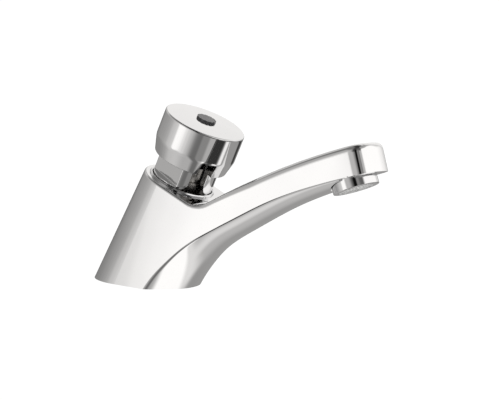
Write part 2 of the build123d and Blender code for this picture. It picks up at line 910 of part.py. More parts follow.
def make_locating_pin():
    low = locating_pin_engagement - locating_pin_length
    return Pos(pin_place(), 0) * rod(locating_pin_radius, low, locating_pin_engagement)


nodes = {
    "body": make_body,
    "trim_ring": make_trim_ring,
    "bonnet": make_bonnet,
    "bonnet_seal": make_bonnet_seal,
    "spindle_seal": make_spindle_seal,
    "timing_cylinder": make_timing_cylinder,
    "valve_seat": make_valve_seat,
    "seat_ring": make_seat_ring,
    "inlet_filter": make_inlet_filter,
    "push_cap": make_push_cap,
    "index_plug": make_index_plug,
    "cap_nut": make_cap_nut,
    "spindle": make_spindle,
    "timing_needle": make_timing_needle,
    "spring_cup": make_spring_cup,
    "return_spring": make_return_spring,
    "piston": make_piston,
    "piston_seal": make_piston_seal,
    "piston_clip": make_piston_clip,
    "valve_washer": make_valve_washer,
    "valve_nut": make_valve_nut,
    "outlet_shell": make_outlet_shell,
    "outlet_grid": make_outlet_grid,
    "jet_plate": make_jet_plate,
    "outlet_screen": make_outlet_screen,
    "outlet_washer": make_outlet_washer,
    "inlet_shank": make_inlet_shank,
    "shank_seal": make_shank_seal,
    "base_gasket": make_base_gasket,
    "rubber_washer": make_rubber_washer,
    "steel_washer": make_steel_washer,
    "backnut": make_backnut,
    "locating_pin": make_locating_pin,
}

for name, make in nodes.items():
    export_step(make(), f"parts/{name}.step")
    print("made", name)
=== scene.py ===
"""Push timed tap: chrome casting and button as smooth worked-out surfaces, the rest from the CAD frame."""

import json
import math

import bpy
import numpy as np
from mathutils import Matrix


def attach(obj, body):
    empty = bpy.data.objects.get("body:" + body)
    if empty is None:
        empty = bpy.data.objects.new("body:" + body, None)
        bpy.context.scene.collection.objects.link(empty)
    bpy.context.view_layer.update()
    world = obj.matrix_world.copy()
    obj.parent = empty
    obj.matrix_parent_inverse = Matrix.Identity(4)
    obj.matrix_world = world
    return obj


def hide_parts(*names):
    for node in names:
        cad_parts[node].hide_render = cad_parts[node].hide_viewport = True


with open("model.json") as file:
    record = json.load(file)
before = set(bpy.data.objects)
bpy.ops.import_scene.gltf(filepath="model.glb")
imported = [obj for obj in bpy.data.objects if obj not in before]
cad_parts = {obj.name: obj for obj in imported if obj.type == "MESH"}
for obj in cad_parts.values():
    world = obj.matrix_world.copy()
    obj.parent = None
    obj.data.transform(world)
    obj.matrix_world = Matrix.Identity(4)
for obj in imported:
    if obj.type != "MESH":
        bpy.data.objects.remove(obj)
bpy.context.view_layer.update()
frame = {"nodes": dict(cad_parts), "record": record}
nodes = frame["nodes"]

# Places and directions. Lengths are millimetres until a mesh is made, and metres in the finishes.

MM = 0.001
ORIGIN = np.zeros(3)
SIDE = np.array([0.0, 1.0, 0.0])
UP = np.array([0.0, 0.0, 1.0])

# The column leans towards the spout. Levels are measured along its axis from where that meets the deck.
LEAN = math.radians(22.66)
AXIS = np.array([math.sin(LEAN), 0.0, math.cos(LEAN)])
AHEAD = np.array([math.cos(LEAN), 0.0, -math.sin(LEAN)])
FOOT = np.array([-5.56, 0.0, 0.0])

# The outlet fitting tilts with the spout, and the flat face of the head round it a little less.
OUTLET_TILT = math.radians(22.4)
OUT_AHEAD = np.array([math.cos(OUTLET_TILT), 0.0, math.sin(OUTLET_TILT)])
OUT_UP = np.array([-math.sin(OUTLET_TILT), 0.0, math.cos(OUTLET_TILT)])
OUT = np.array([126.5, 0.0, 62.9])
FACE_TILT = math.radians(18.5)
FACE_LIFT = 5.5
HEAD_AHEAD = np.array([math.cos(FACE_TILT), 0.0, math.sin(FACE_TILT)])
HEAD_UP = np.array([-math.sin(FACE_TILT), 0.0, math.cos(FACE_TILT)])
HEAD = OUT + OUT_UP * FACE_LIFT


# Distance fields. A field is (value, gradient) at an array of places, and is negative inside the metal.
# What divides is kept from zero.

LEAST_RADIUS = 1e-6
LEAST = 1e-9


def pair(value, gradient):
    """A field with one gradient everywhere."""
    return value, np.broadcast_to(gradient, (len(value), 3))


def join_max(a, b, width):
    """The larger of two fields, rounded where they are nearly equal: a bar cut by both.

    With h = 1 - |a - b| / width, not below 0, it is the larger plus h^2 width / 4."""
    h = np.clip(1.0 - np.abs(a[0] - b[0]) / width, 0.0, 1.0)
    share = np.where(a[0] > b[0], 1.0 - h / 2, h / 2)[:, None]
    return np.maximum(a[0], b[0]) + h * h * width / 4, a[1] * share + b[1] * (1 - share)


def join_min(a, b, width):
    """The smaller of two fields, rounded in the same way: two bars run together."""
    h = np.clip(1.0 - np.abs(a[0] - b[0]) / width, 0.0, 1.0)
    share = np.where(a[0] < b[0], 1.0 - h / 2, h / 2)[:, None]
    return np.minimum(a[0], b[0]) - h * h * width / 4, a[1] * share + b[1] * (1 - share)


def hard_max(*fields):
    """The largest of several fields, with sharp edges."""
    out = fields[0]
    for f in fields[1:]:
        pick = (f[0] > out[0])[:, None]
        out = np.maximum(out[0], f[0]), np.where(pick, f[1], out[1])
    return out


def flip(a):
    """Metal and air changed over."""
    return -a[0], -a[1]


def unit(vectors):
    """Each vector over its length."""
    return vectors / np.maximum(np.linalg.norm(vectors, axis=-1), LEAST)[..., None]


def away(ahead, y, way):
    """Distance from a line, sqrt(ahead^2 + y^2), and the direction away from it."""
    r = np.maximum(np.hypot(ahead, y), LEAST_RADIUS)
    return r, (ahead[:, None] * way + y[:, None] * SIDE) / r[:, None]


def cylinder(p, origin, axis, radius):
    """Distance from a line, less a radius."""
    d = p - origin
    d = d - (d @ axis)[:, None] * axis
    r = np.maximum(np.linalg.norm(d, axis=1), LEAST_RADIUS)
    return r - radius, d / r[:, None]


def above(p, origin, axis, level):
    """Distance past a plane square to an axis."""
    return pair((p - origin) @ axis - level, axis)


def bar(p, origin, axis, radius, low, high):
    """A round bar between two levels of its axis."""
    ends = hard_max(above(p, origin, axis, high), flip(above(p, origin, axis, low)))
    return hard_max(cylinder(p, origin, axis, radius), ends)


# The casting

COLUMN_RADIUS = 25.0
RIM_LEVEL = 60.8
TAPER = 4.2 / RIM_LEVEL
FLANK_BOW = 1700.0
FRONT_BOW = 400.0
FRONT_BOW_FROM = 114.0
NOSE_RADIUS = 45.0
NOSE_LENGTH = 15.8
NOSE_CORNER = 5.5
POCKET_RADIUS = 12.1
POCKET_CORNER = 0.5

# Top of the spout: a long arc through three places (x, z), crowned across, and the valley before the button
TOP_PLACES = ((42.7, 45.7), (93.6, 72.1), (152.0, 92.0))
TOP_CROWN = 500.0
VALLEY_ROUND = 6.8

# How far the edge between flanks and top is rounded, at places along x
EDGE_PLACES = (35.0, 75.0, 95.0, 140.0)
EDGE_ROUNDS = (1.3, 4.2, 4.0, 3.4)

# Lowest line of the underside, called the keel. It starts below the deck, and the first shares are of its
# foot's place ahead, the others of the way from there to the outlet and of the outlet's height.
KEEL_FOOT = 26.6
KEEL_DROP = 14.0
KEEL_SLOPE = np.radians(62.0)
FOOT_SHARES = ((1.252, 0.391), (1.519, 0.707))
KEEL_SHARES = ((0.3544, 0.54), (0.6302, 0.79), (0.9049, 0.982), (1.3163, 1.23))
KEEL_SAMPLES = 1900

# Radii of the underside's bow at even steps along the keel, the samples over which they are evened out, and
# how much is added to their inverse from the column's foot to the spout
BOW_RADII = (33.0, 33.0, 43.0, 48.0, 45.0, 39.5, 37.0, 36.0, 36.0, 36.0)
BOW_BLUR = 80
BOW_HALF_SPAN = 30.0
TIGHTER_PLACES = (15.0, 60.0)
TIGHTER_BY = (0.0006, 0.0034)

# Bores: origin, axis, radius, low and high level
BORE_END = 70.0
OVERRUN = 9.0
BORES = (
    (FOOT, AXIS, 18.15, 57.6, BORE_END),  # seat of the trim ring
    (FOOT, AXIS, 16.9, 50.0, BORE_END),  # well round the button's sleeve
    (FOOT, AXIS, 15.05, 22.0, BORE_END),  # cartridge chamber
    (FOOT, AXIS, 8.0, 8.0, 24.0),  # inlet port
    (OUT, OUT_UP, 11.7, -OVERRUN, 13.9),  # socket of the outlet fitting
    (ORIGIN, UP, 9.25, -OVERRUN, 7.0),  # socket of the shank's spigot
    (ORIGIN, UP, 11.0, -OVERRUN, 0.2),  # clearance round the shank's neck
)


def circle_through(a, b, c):
    """Centre and radius of the circle through three points, where two perpendicular bisectors meet."""
    (ax, ay), (bx, by), (cx, cy) = a, b, c
    d = 2 * (ax * (by - cy) + bx * (cy - ay) + cx * (ay - by))
    sa, sb, sc = ax * ax + ay * ay, bx * bx + by * by, cx * cx + cy * cy
    x = (sa * (by - cy) + sb * (cy - ay) + sc * (ay - by)) / d
    y = (sa * (cx - bx) + sb * (ax - cx) + sc * (bx - ax)) / d
    return (x, y), math.hypot(ax - x, ay - y)


def spline(knots, count):
    """Points and unit tangents of the cubic spline through the knots, its parameter the chord length.

    Its second derivatives solve the usual rows, slope equal on both sides of each knot, and the third
    derivative runs on across the first and last inner knots."""
    t = np.concatenate([[0], np.cumsum(np.linalg.norm(np.diff(knots, axis=0), axis=1))])
    n = len(t)
    h = np.diff(t)
    rows = np.zeros((n, n))
    right = np.zeros((n, 2))
    rows[0, :3] = [h[1], -(h[0] + h[1]), h[0]]
    rows[-1, -3:] = [h[-1], -(h[-2] + h[-1]), h[-2]]
    i = np.arange(1, n - 1)
    rows[i, i - 1] = h[:-1]
    rows[i, i] = 2 * (h[:-1] + h[1:])
    rows[i, i + 1] = h[1:]
    right[1:-1] = 6 * np.diff(np.diff(knots, axis=0) / h[:, None], axis=0)
    bend = np.linalg.solve(rows, right)
    u = np.linspace(0, t[-1], count)
    j = np.clip(np.searchsorted(t, u) - 1, 0, n - 2)
    a = (t[j + 1] - u)[:, None]
    b = (u - t[j])[:, None]
    w = h[j][:, None]
    point = (bend[j] * a**3 + bend[j + 1] * b**3) / (6 * w)
    point += (knots[j] / w - bend[j] * w / 6) * a + (knots[j + 1] / w - bend[j + 1] * w / 6) * b
    tangent = np.gradient(point, u, axis=0)
    return point, tangent / np.linalg.norm(tangent, axis=1)[:, None]


def keel_samples():
    """Points, unit tangents and bow radii about every tenth of a millimetre along the keel."""
    back = KEEL_DROP / np.tan(KEEL_SLOPE) / KEEL_FOOT
    foot = np.array([(1.0 - back, -KEEL_DROP / KEEL_FOOT), (1.0, 0.0), *FOOT_SHARES]) * KEEL_FOOT
    rest = np.array(KEEL_SHARES) * [OUT[0] - KEEL_FOOT, OUT[2]] + [KEEL_FOOT, 0.0]
    point, tangent = spline(np.vstack([foot, rest]), KEEL_SAMPLES)
    radius = np.interp(np.linspace(0, 1, KEEL_SAMPLES), np.linspace(0, 1, len(BOW_RADII)), BOW_RADII)
    window = np.ones(2 * BOW_BLUR + 1) / (2 * BOW_BLUR + 1)
    radius = np.convolve(np.pad(radius, BOW_BLUR, mode="edge"), window, mode="valid")
    return point, tangent, radius


TOP_CENTRE, TOP_RADIUS = circle_through(*TOP_PLACES)
KEEL, KEEL_WAY, KEEL_RADIUS = keel_samples()


def nearest_keel(x, z):
    """Height over the keel, its upward normal and the bow radius at the nearest sample.

    The height is the distance from the sample with its part along the keel taken out."""
    best = np.zeros(len(x), dtype=int)
    batch = 4000
    for start in range(0, len(x), batch):
        some = slice(start, start + batch)
        d = (x[some, None] - KEEL[None, :, 0]) ** 2 + (z[some, None] - KEEL[None, :, 1]) ** 2
        best[some] = d.argmin(axis=1)
    way = KEEL_WAY[best]
    normal = np.stack([-way[:, 1], way[:, 0]], axis=1)
    off = np.stack([x, z], axis=1) - KEEL[best]
    along = (off * way).sum(axis=1)
    height = np.sign((off * normal).sum(axis=1)) * np.sqrt(np.maximum((off**2).sum(axis=1) - along**2, 0))
    return height, normal, KEEL_RADIUS[best]


def underside(p, keel):
    """Arcs square to the keel, with the metal above them: height = R - sqrt(R^2 - y^2)."""
    height, normal, radius = keel
    radius = 1.0 / (1.0 / radius + np.interp(p[:, 0], TIGHTER_PLACES, TIGHTER_BY))
    y = np.clip(p[:, 1], -BOW_HALF_SPAN, BOW_HALF_SPAN)
    root = np.sqrt(radius**2 - y**2)
    value = (radius - root - height) * root / radius
    gradient = np.stack([-normal[:, 0] * root / radius, y / radius, -normal[:, 1] * root / radius], axis=1)
    return value, gradient


def flanks(p):
    """The leaning cone of the column and two bowed flanks ahead of its axis.

    Behind the axis it is the distance from the axis less the half width, which shrinks with the level.
    Ahead it is |y| + ahead^2 / 2R less the half width, with a tighter bow of that kind before the nose."""
    d = p - FOOT
    level, ahead, y = d @ AXIS, d @ AHEAD, p[:, 1]
    half = COLUMN_RADIUS - TAPER * level
    r, g_back = away(ahead, y, AHEAD)
    back = ahead < 0
    near = np.maximum(p[:, 0] - FRONT_BOW_FROM, 0)
    bowed = np.abs(y) - half + ahead**2 / (2 * FLANK_BOW) + near**2 / (2 * FRONT_BOW)
    g_side = np.sign(y)[:, None] * SIDE + (ahead / FLANK_BOW)[:, None] * AHEAD
    g_side[:, 0] += near / FRONT_BOW
    return np.where(back, r - half, bowed), np.where(back[:, None], g_back, g_side) + TAPER * AXIS


def top(p):
    """Below the rim's plane or below the spout's long arc, with a round valley between them."""
    rim = above(p, FOOT, AXIS, RIM_LEVEL)
    dx, dz = p[:, 0] - TOP_CENTRE[0], p[:, 2] - TOP_CENTRE[1]
    r = np.hypot(dx, dz)
    height = r - TOP_RADIUS + p[:, 1] ** 2 / (2 * TOP_CROWN)
    return join_min(rim, (height, np.stack([dx / r, p[:, 1] / TOP_CROWN, dz / r], axis=1)), VALLEY_ROUND)


def nose(p):
    """The bowed front of the head: a wide upright cylinder, square to the head's face."""
    ahead = np.maximum((p - HEAD) @ HEAD_AHEAD + NOSE_RADIUS - NOSE_LENGTH, 0)
    r, out = away(ahead, p[:, 1], HEAD_AHEAD)
    return r - NOSE_RADIUS, out


def pocket(p):
    """What is cut away flat under the head: a round patch about the outlet and all that lies before it."""
    d = p - HEAD
    ahead = d @ HEAD_AHEAD
    r, out = away(ahead, p[:, 1], HEAD_AHEAD)
    reach = join_min((r - POCKET_RADIUS, out), pair(-ahead, -HEAD_AHEAD), POCKET_CORNER)
    return flip(hard_max(reach, pair(d @ HEAD_UP, HEAD_UP)))


def casting(p, keel):
    """Three fields that meet in sharp edges: the outside, the underside and the cuts."""
    side = join_max(flanks(p), nose(p), NOSE_CORNER)
    outside = join_max(side, top(p), np.interp(p[:, 0], EDGE_PLACES, EDGE_ROUNDS))
    bores = [flip(bar(p, *bore)) for bore in BORES]
    return [outside, underside(p, keel), hard_max(*bores, pair(-p[:, 2], -UP), pocket(p))]


def casting_at(p):
    """The casting's fields at any places."""
    return casting(p, nearest_keel(p[:, 0], p[:, 2]))


def casting_lattice(axes):
    """The casting's field on a lattice; the keel's part is worked out once for each place in XZ."""
    x, y, z = axes
    gx, gz = np.meshgrid(x, z, indexing="ij")
    keel = nearest_keel(gx.ravel(), gz.ravel())
    out = np.empty((len(x), len(y), len(z)))
    for j in range(len(y)):
        p = np.stack([gx.ravel(), np.full(gx.size, y[j]), gz.ravel()], axis=1)
        out[:, j, :] = np.max([f[0] for f in casting(p, keel)], axis=0).reshape(gx.shape)
    return out


# The push cap. Depths are measured down from the edge of its top.

CAP_TOP_LEVEL = 96.8
CAP_RADIUS = 22.0
CAP_DOME = 0.9
CAP_EDGE = 0.95
KINK_DEPTH = 15.0
KINK_ROUND = 0.25
SKIRT_RADIUS = 19.9
SKIRT_DEPTH = 23.2
SKIRT_EDGE = 0.5
SKIRT_SLOPE = (CAP_RADIUS - SKIRT_RADIUS) / (SKIRT_DEPTH - KINK_DEPTH)
SLEEVE_RADIUS = 16.4
SLEEVE_ROOT_DEPTH = 20.0
SLEEVE_DEPTH = 35.1
SLEEVE_FILLET = 0.3
SLEEVE_BORE = 11.4
CEILING_DEPTH = 9.0
FLAT_DISTANCE = 12.4
FLAT_TURN = math.radians(77.0)
FLAT_ROUND = 0.5
LIP_HEIGHT = 1.0
SLOT_TURN = math.radians(-27.0)
SLOT_HALF_WIDTH = 4.6
SLOT_TOP_DEPTH = 15.3
SLOT_CORNER = 1.2
SLOT_MOUTH_RADIUS = 5.0
SLOT_LEAST_ROOT = 1.5
HUB_RADIUS = 8.0
HUB_DEPTH = 15.8
HOLE_RADIUS = 5.3
HOLE_DEPTH = 5.8
PIN_RADIUS = 4.0
HAIR_ROUND = 0.05


def way_at(turn):
    """The direction square to the column's axis at a turn from straight ahead."""
    return math.cos(turn) * AHEAD + math.sin(turn) * SIDE


def cap_outside(d, depth, r, out):
    """Domed crown, straight side and tapered skirt, and a narrower sleeve with a flat on two sides.

    The dome is dome * (1 - (r / R)^2) high, and the flats stop short of a lip at the sleeve's foot."""
    dome = -depth - CAP_DOME * (1 - (r / CAP_RADIUS) ** 2)
    crown = dome, AXIS + out * (2 * CAP_DOME * r / CAP_RADIUS**2)[:, None]
    straight = r - CAP_RADIUS, out
    skirt = r - (CAP_RADIUS - SKIRT_SLOPE * (depth - KINK_DEPTH)), out - SKIRT_SLOPE * AXIS
    upper = join_max(join_max(straight, skirt, KINK_ROUND), crown, CAP_EDGE)
    upper = join_max(upper, pair(depth - SKIRT_DEPTH, -AXIS), SKIRT_EDGE)
    foot, root = pair(depth - SLEEVE_DEPTH, -AXIS), pair(SLEEVE_ROOT_DEPTH - depth, AXIS)
    sleeve = hard_max((r - SLEEVE_RADIUS, out), foot, root)
    way = way_at(FLAT_TURN)
    across = d @ way
    wall = np.abs(across) - FLAT_DISTANCE, np.sign(across)[:, None] * way
    flat = join_min(wall, pair(SLEEVE_DEPTH - LIP_HEIGHT - depth, AXIS), FLAT_ROUND)
    return join_min(upper, hard_max(sleeve, flat), SLEEVE_FILLET)


def cap_slot(d, depth):
    """A slot right through the sleeve, with round top corners and two quarter rounds that widen its mouth.

    At a height low over the sleeve's foot, with R the mouth's radius, its half width is the slot's own
    plus R - sqrt(R^2 - (R - low)^2)."""
    way = way_at(SLOT_TURN + math.pi / 2)
    across = d @ way
    left = SLOT_MOUTH_RADIUS - np.clip(SLEEVE_DEPTH - depth, 0, SLOT_MOUTH_RADIUS)
    root = np.sqrt(np.maximum(SLOT_MOUTH_RADIUS**2 - left**2, 0))
    half = SLOT_HALF_WIDTH + SLOT_MOUTH_RADIUS - root
    lean = left / np.maximum(root, SLOT_LEAST_ROOT)
    outward = unit(np.sign(across)[:, None] * way + lean[:, None] * AXIS)
    wall = (np.abs(across) - half) / np.sqrt(1 + lean**2), outward
    return flip(join_max(wall, pair(SLOT_TOP_DEPTH - depth, AXIS), SLOT_CORNER))


def cap(p):
    """Four fields that meet in sharp edges: outside, slots, bore with its hub, and the hole in the middle."""
    d = p - FOOT
    depth = CAP_TOP_LEVEL - d @ AXIS
    r, out = away(d @ AHEAD, p[:, 1], AHEAD)
    core = r - SLEEVE_BORE, out
    slot = join_min(cap_slot(d, depth), core, HAIR_ROUND)
    bore = hard_max(core, pair(CEILING_DEPTH - depth, AXIS))
    stub = hard_max((r - HUB_RADIUS, out), pair(depth - HUB_DEPTH, -AXIS))
    hub = join_min(flip(bore), stub, HAIR_ROUND)
    hole = flip(hard_max((r - HOLE_RADIUS, out), pair(depth - HOLE_DEPTH, -AXIS)))
    pin = flip((r - PIN_RADIUS, out))
    return [cap_outside(d, depth, r, out), slot, hub, hard_max(hole, pin)]


BATCHES = 16


def lattice_of(evaluate):
    """The largest of some fields, worked out on a lattice in batches."""

    def fill(axes):
        gx, gy, gz = np.meshgrid(*axes, indexing="ij")
        p = np.stack([gx.ravel(), gy.ravel(), gz.ravel()], axis=1)
        parts = [np.max([f[0] for f in evaluate(q)], axis=0) for q in np.array_split(p, BATCHES)]
        return np.concatenate(parts).reshape(gx.shape)

    return fill


COLUMN_TURN = np.stack([AHEAD, SIDE, AXIS])


def cap_upright(q):
    """The cap's fields in the axes of the leaning column, which suits its lattice better."""
    return [(f[0], f[1] @ COLUMN_TURN.T) for f in cap(q @ COLUMN_TURN + FOOT)]


# Sharp-edged skins from fields


def skin(fields, low, high, cell):
    """A closed skin of the surface where the largest field is zero.

    Each cell of a lattice that the surface crosses has one point, the mean of the places where it crosses
    the cell's edges, and the four cells round each crossed lattice edge give one face."""
    low, high = np.array(low, float), np.array(high, float)
    counts = np.ceil((high - low) / cell).astype(int) + 1
    axes = [low[i] + cell * np.arange(counts[i]) for i in range(3)]
    value = fields(axes)
    inside = value < 0
    total = np.zeros(tuple(counts - 1) + (3,))
    hits = np.zeros(tuple(counts - 1))
    offsets = [(i, j, k) for i in (0, 1) for j in (0, 1) for k in (0, 1)]

    def corner(array, o):
        return array[tuple(slice(o[i], counts[i] - 1 + o[i]) for i in range(3))]

    for a in offsets:
        for axis in range(3):
            if a[axis]:
                continue
            b = tuple(a[i] + (i == axis) for i in range(3))
            va, vb = corner(value, a), corner(value, b)
            cross = corner(inside, a) != corner(inside, b)
            t = np.where(cross, va / np.where(cross, va - vb, 1.0), 0.0)
            for i in range(3):
                total[..., i] += np.where(cross, a[i] + (t if i == axis else 0.0), 0.0)
            hits += cross
    live = hits > 0
    index = np.full(live.shape, -1)
    index[live] = np.arange(live.sum())
    points = low + cell * (np.argwhere(live) + total[live] / hits[live][:, None])
    faces = []
    for axis in range(3):
        u, v = (axis + 1) % 3, (axis + 2) % 3
        first = [slice(1, counts[i] - 1) for i in range(3)]
        first[axis] = slice(0, counts[axis] - 1)
        second = list(first)
        second[axis] = slice(1, counts[axis])
        ina, inb = inside[tuple(first)], inside[tuple(second)]
        spots = np.argwhere(ina != inb)
        outward = ina[tuple(spots.T)]
        base = spots + [0 if i == axis else 1 for i in range(3)]

        def cell_at(du, dv):
            c = base.copy()
            c[:, u] -= du
            c[:, v] -= dv
            return index[tuple(c.T)]

        quad = np.stack([cell_at(1, 1), cell_at(0, 1), cell_at(0, 0), cell_at(1, 0)], axis=1)
        faces.append(np.where(outward[:, None], quad, quad[:, ::-1]))
    return points, np.vstack(faces)


# Shares of a cell: how near two fields count as one edge, the longest step, and the drift past which a point
# goes back. The least angle is the squared sine of the angle between the two fields' gradients.
NEWTON_STEPS = 5
EDGE_NEAR = 0.75
LEAST_ANGLE = 0.02
LONGEST_STEP = 0.7
LONGEST_DRIFT = 1.3


def settle(points, evaluate, cell):
    """Newton steps onto the surface; how near, how far and how long are shares of a cell.

    A step is value * gradient / |gradient|^2. A point whose two largest fields are nearly equal, and don't
    run side by side, moves to where both are zero, which is on their sharp edge."""
    start = points.copy()
    rows = np.arange(len(points))
    for _ in range(NEWTON_STEPS):
        fields = evaluate(points)
        values = np.stack([f[0] for f in fields], axis=1)
        order = np.argsort(-values, axis=1)
        grads = np.stack([f[1] for f in fields], axis=1)
        v1, v2 = values[rows, order[:, 0]], values[rows, order[:, 1]]
        g1, g2 = grads[rows, order[:, 0]], grads[rows, order[:, 1]]
        n1, n2 = (g1**2).sum(1), (g2**2).sum(1)
        dot = (g1 * g2).sum(1)
        det = n1 * n2 - dot**2
        near = (np.abs(v1 - v2) < EDGE_NEAR * cell * np.sqrt(n1)) & (det > LEAST_ANGLE * n1 * n2)
        safe = np.where(det > LEAST, det, 1.0)
        a = np.where(near, (v1 * n2 - v2 * dot) / safe, v1 / np.maximum(n1, LEAST))
        b = np.where(near, (v2 * n1 - v1 * dot) / safe, 0.0)
        move = -(a[:, None] * g1 + b[:, None] * g2)
        size = np.linalg.norm(move, axis=1)[:, None]
        points = points + move * np.minimum(1.0, LONGEST_STEP * cell / np.maximum(size, LEAST))
    far = np.linalg.norm(points - start, axis=1) > LONGEST_DRIFT * cell
    points[far] = start[far]
    return points


# The first field's share in the mean at its edge with the second, and the depth over which it fades
EDGE_SHARE = 0.45
EDGE_FADE = 1.6


def face_normals(points, faces, evaluate):
    """For each face corner, the gradient there of whichever field is largest at the face's middle.

    On the second field's side of its edge with the first, the corners turn slowly from near the mean of
    both, so that this edge reads as polished."""
    centre = points[faces].mean(axis=1)
    owner = np.stack([f[0] for f in evaluate(centre)], axis=1).argmax(axis=1)
    fields = evaluate(points)
    grads = unit(np.stack([f[1] for f in fields], axis=1))
    share = EDGE_SHARE * np.clip(1.0 + fields[0][0] / EDGE_FADE, 0, 1)[:, None]
    mean = unit(grads[:, 0] * share + grads[:, 1] * (1 - share))
    return np.where((owner == 1)[:, None, None], mean[faces], grads[faces, owner[:, None]])


def mesh_object(name, points, faces, normals=None):
    """A mesh in metres, with its corner normals if they are given."""
    mesh = bpy.data.meshes.new(name)
    mesh.vertices.add(len(points))
    mesh.vertices.foreach_set("co", (points * MM).astype(np.float32).ravel())
    mesh.loops.add(faces.size)
    mesh.loops.foreach_set("vertex_index", faces.astype(np.int32).ravel())
    mesh.polygons.add(len(faces))
    mesh.polygons.foreach_set("loop_start", np.arange(0, faces.size, faces.shape[1], dtype=np.int32))
    mesh.update(calc_edges=True)
    mesh.polygons.foreach_set("use_smooth", np.ones(len(faces), dtype=bool))
    if normals is not None:
        mesh.normals_split_custom_set(normals.reshape(-1, 3).tolist())
    mesh.validate()
    obj = bpy.data.objects.new(name, mesh)
    bpy.context.scene.collection.objects.link(obj)
    return obj


def skin_object(name, evaluate, lattice, box, cell, turn=np.eye(3), origin=ORIGIN):
    """The settled skin of some fields in a box, turned and moved to its place."""
    points, faces = skin(lattice, *box, cell)
    points = settle(points, evaluate, cell)
    normals = face_normals(points, faces, evaluate)
    return mesh_object(name, points @ turn + origin, faces, normals @ turn)


RING_SEGMENTS = 256


def turned(name, outline, origin, axis, across):
    """A ring-shaped solid: a closed outline of (radius, level) points turned about an axis.

    A point is radius * (cos a across + sin a other) + level * axis. Every outline side has its own two
    rows of points, and the normal square to it, so its edges stay crisp."""
    outline = np.array(outline, float)
    ahead = np.roll(outline, -1, axis=0)
    angle = np.linspace(0, 2 * math.pi, RING_SEGMENTS, endpoint=False)
    other = np.cross(axis, across)
    ring = np.cos(angle)[:, None] * across + np.sin(angle)[:, None] * other
    rows = np.stack([outline, ahead], axis=1).reshape(-1, 2)
    points = rows[:, None, 0, None] * ring[None] + rows[:, None, 1, None] * axis + origin
    side = ahead - outline
    normal = np.stack([side[:, 1], -side[:, 0]], axis=1)
    normal /= np.linalg.norm(normal, axis=1)[:, None]
    low = np.arange(len(outline))[:, None] * 2 * RING_SEGMENTS
    high = low + RING_SEGMENTS
    j = np.arange(RING_SEGMENTS)[None]
    k = (j + 1) % RING_SEGMENTS
    quads = np.stack([low + j, low + k, high + k, high + j], axis=-1)
    g = normal[:, None, 0, None] * ring[None] + normal[:, None, 1, None] * axis
    turned_on = np.roll(g, -1, axis=1)
    corner = np.stack([g, turned_on, turned_on, g], axis=2)
    return mesh_object(name, points.reshape(-1, 3), quads.reshape(-1, 4), corner.reshape(-1, 4, 3))


# Shader sums and the two kinds of finish


def calc(tree, kind, a, b=None, c=None):
    """One Math node; what it takes may be sockets or numbers."""
    n = tree.nodes.new("ShaderNodeMath")
    n.operation = kind
    for i, v in enumerate((a, b, c)):
        if v is None:
            continue
        if isinstance(v, (int, float)):
            n.inputs[i].default_value = v
        else:
            tree.links.new(v, n.inputs[i])
    return n.outputs[0]


def vector_calc(tree, kind, a, b=None):
    """One Vector Math node on a socket and, for some kinds, a fixed vector."""
    n = tree.nodes.new("ShaderNodeVectorMath")
    n.operation = kind
    tree.links.new(a, n.inputs[0])
    if b is not None:
        n.inputs[1].default_value = b
    return n.outputs


def ramp(tree, value, *stops):
    """A smooth curve through (place, brightness) stops: the sum of one smooth step for each change."""
    out = stops[0][1]
    for (a, va), (b, vb) in zip(stops, stops[1:]):
        if vb == va:
            continue
        n = tree.nodes.new("ShaderNodeMapRange")
        n.interpolation_type = "SMOOTHSTEP"
        n.inputs["From Min"].default_value = a
        n.inputs["From Max"].default_value = b
        n.inputs["To Min"].default_value = 0.0
        n.inputs["To Max"].default_value = vb - va
        tree.links.new(value, n.inputs[0])
        out = calc(tree, "ADD", n.outputs[0], out)
    return out


NOISE_DARK, NOISE_LIGHT = 0.3, 0.7


def noise(tree, scale, detail, low, high):
    """Fractal noise in the piece's own metres, spread between two numbers."""
    place = tree.nodes.new("ShaderNodeTexCoord")
    n = tree.nodes.new("ShaderNodeTexNoise")
    n.inputs["Scale"].default_value = scale
    n.inputs["Detail"].default_value = detail
    tree.links.new(place.outputs["Object"], n.inputs["Vector"])
    spread = tree.nodes.new("ShaderNodeMapRange")
    spread.inputs["From Min"].default_value = NOISE_DARK
    spread.inputs["From Max"].default_value = NOISE_LIGHT
    spread.inputs["To Min"].default_value = low
    spread.inputs["To Max"].default_value = high
    tree.links.new(n.outputs[0], spread.inputs[0])
    return spread.outputs[0]


def blend_colours(tree, factor, first, second):
    """A colour between two, each a socket or three numbers: first + factor * (second - first)."""
    mix = tree.nodes.new("ShaderNodeMix")
    mix.data_type = "RGBA"
    for name, colour in (("A", first), ("B", second)):
        if isinstance(colour, tuple):
            mix.inputs[name].default_value = (*colour, 1)
        else:
            tree.links.new(colour, mix.inputs[name])
    tree.links.new(factor, mix.inputs["Factor"])
    return mix.outputs["Result"]


def grain(tree, shader, scale, detail, strength, distance):
    """Noise as a fine relief."""
    b = tree.nodes.new("ShaderNodeBump")
    b.inputs["Strength"].default_value = strength
    b.inputs["Distance"].default_value = distance
    tree.links.new(noise(tree, scale, detail, 0, 1), b.inputs["Height"])
    tree.links.new(b.outputs[0], shader.inputs["Normal"])


def material(name):
    """An empty material with its tree and its Principled shader."""
    m = bpy.data.materials.new(name)
    m.use_nodes = True
    tree = m.node_tree
    tree.nodes.clear()
    out = tree.nodes.new("ShaderNodeOutputMaterial")
    shader = tree.nodes.new("ShaderNodeBsdfPrincipled")
    tree.links.new(shader.outputs[0], out.inputs[0])
    return m, tree, shader


RIPPLE_SCALE = 900.0
RIPPLE_HEIGHT = 0.00005
MOULD_HEIGHT = 0.0001


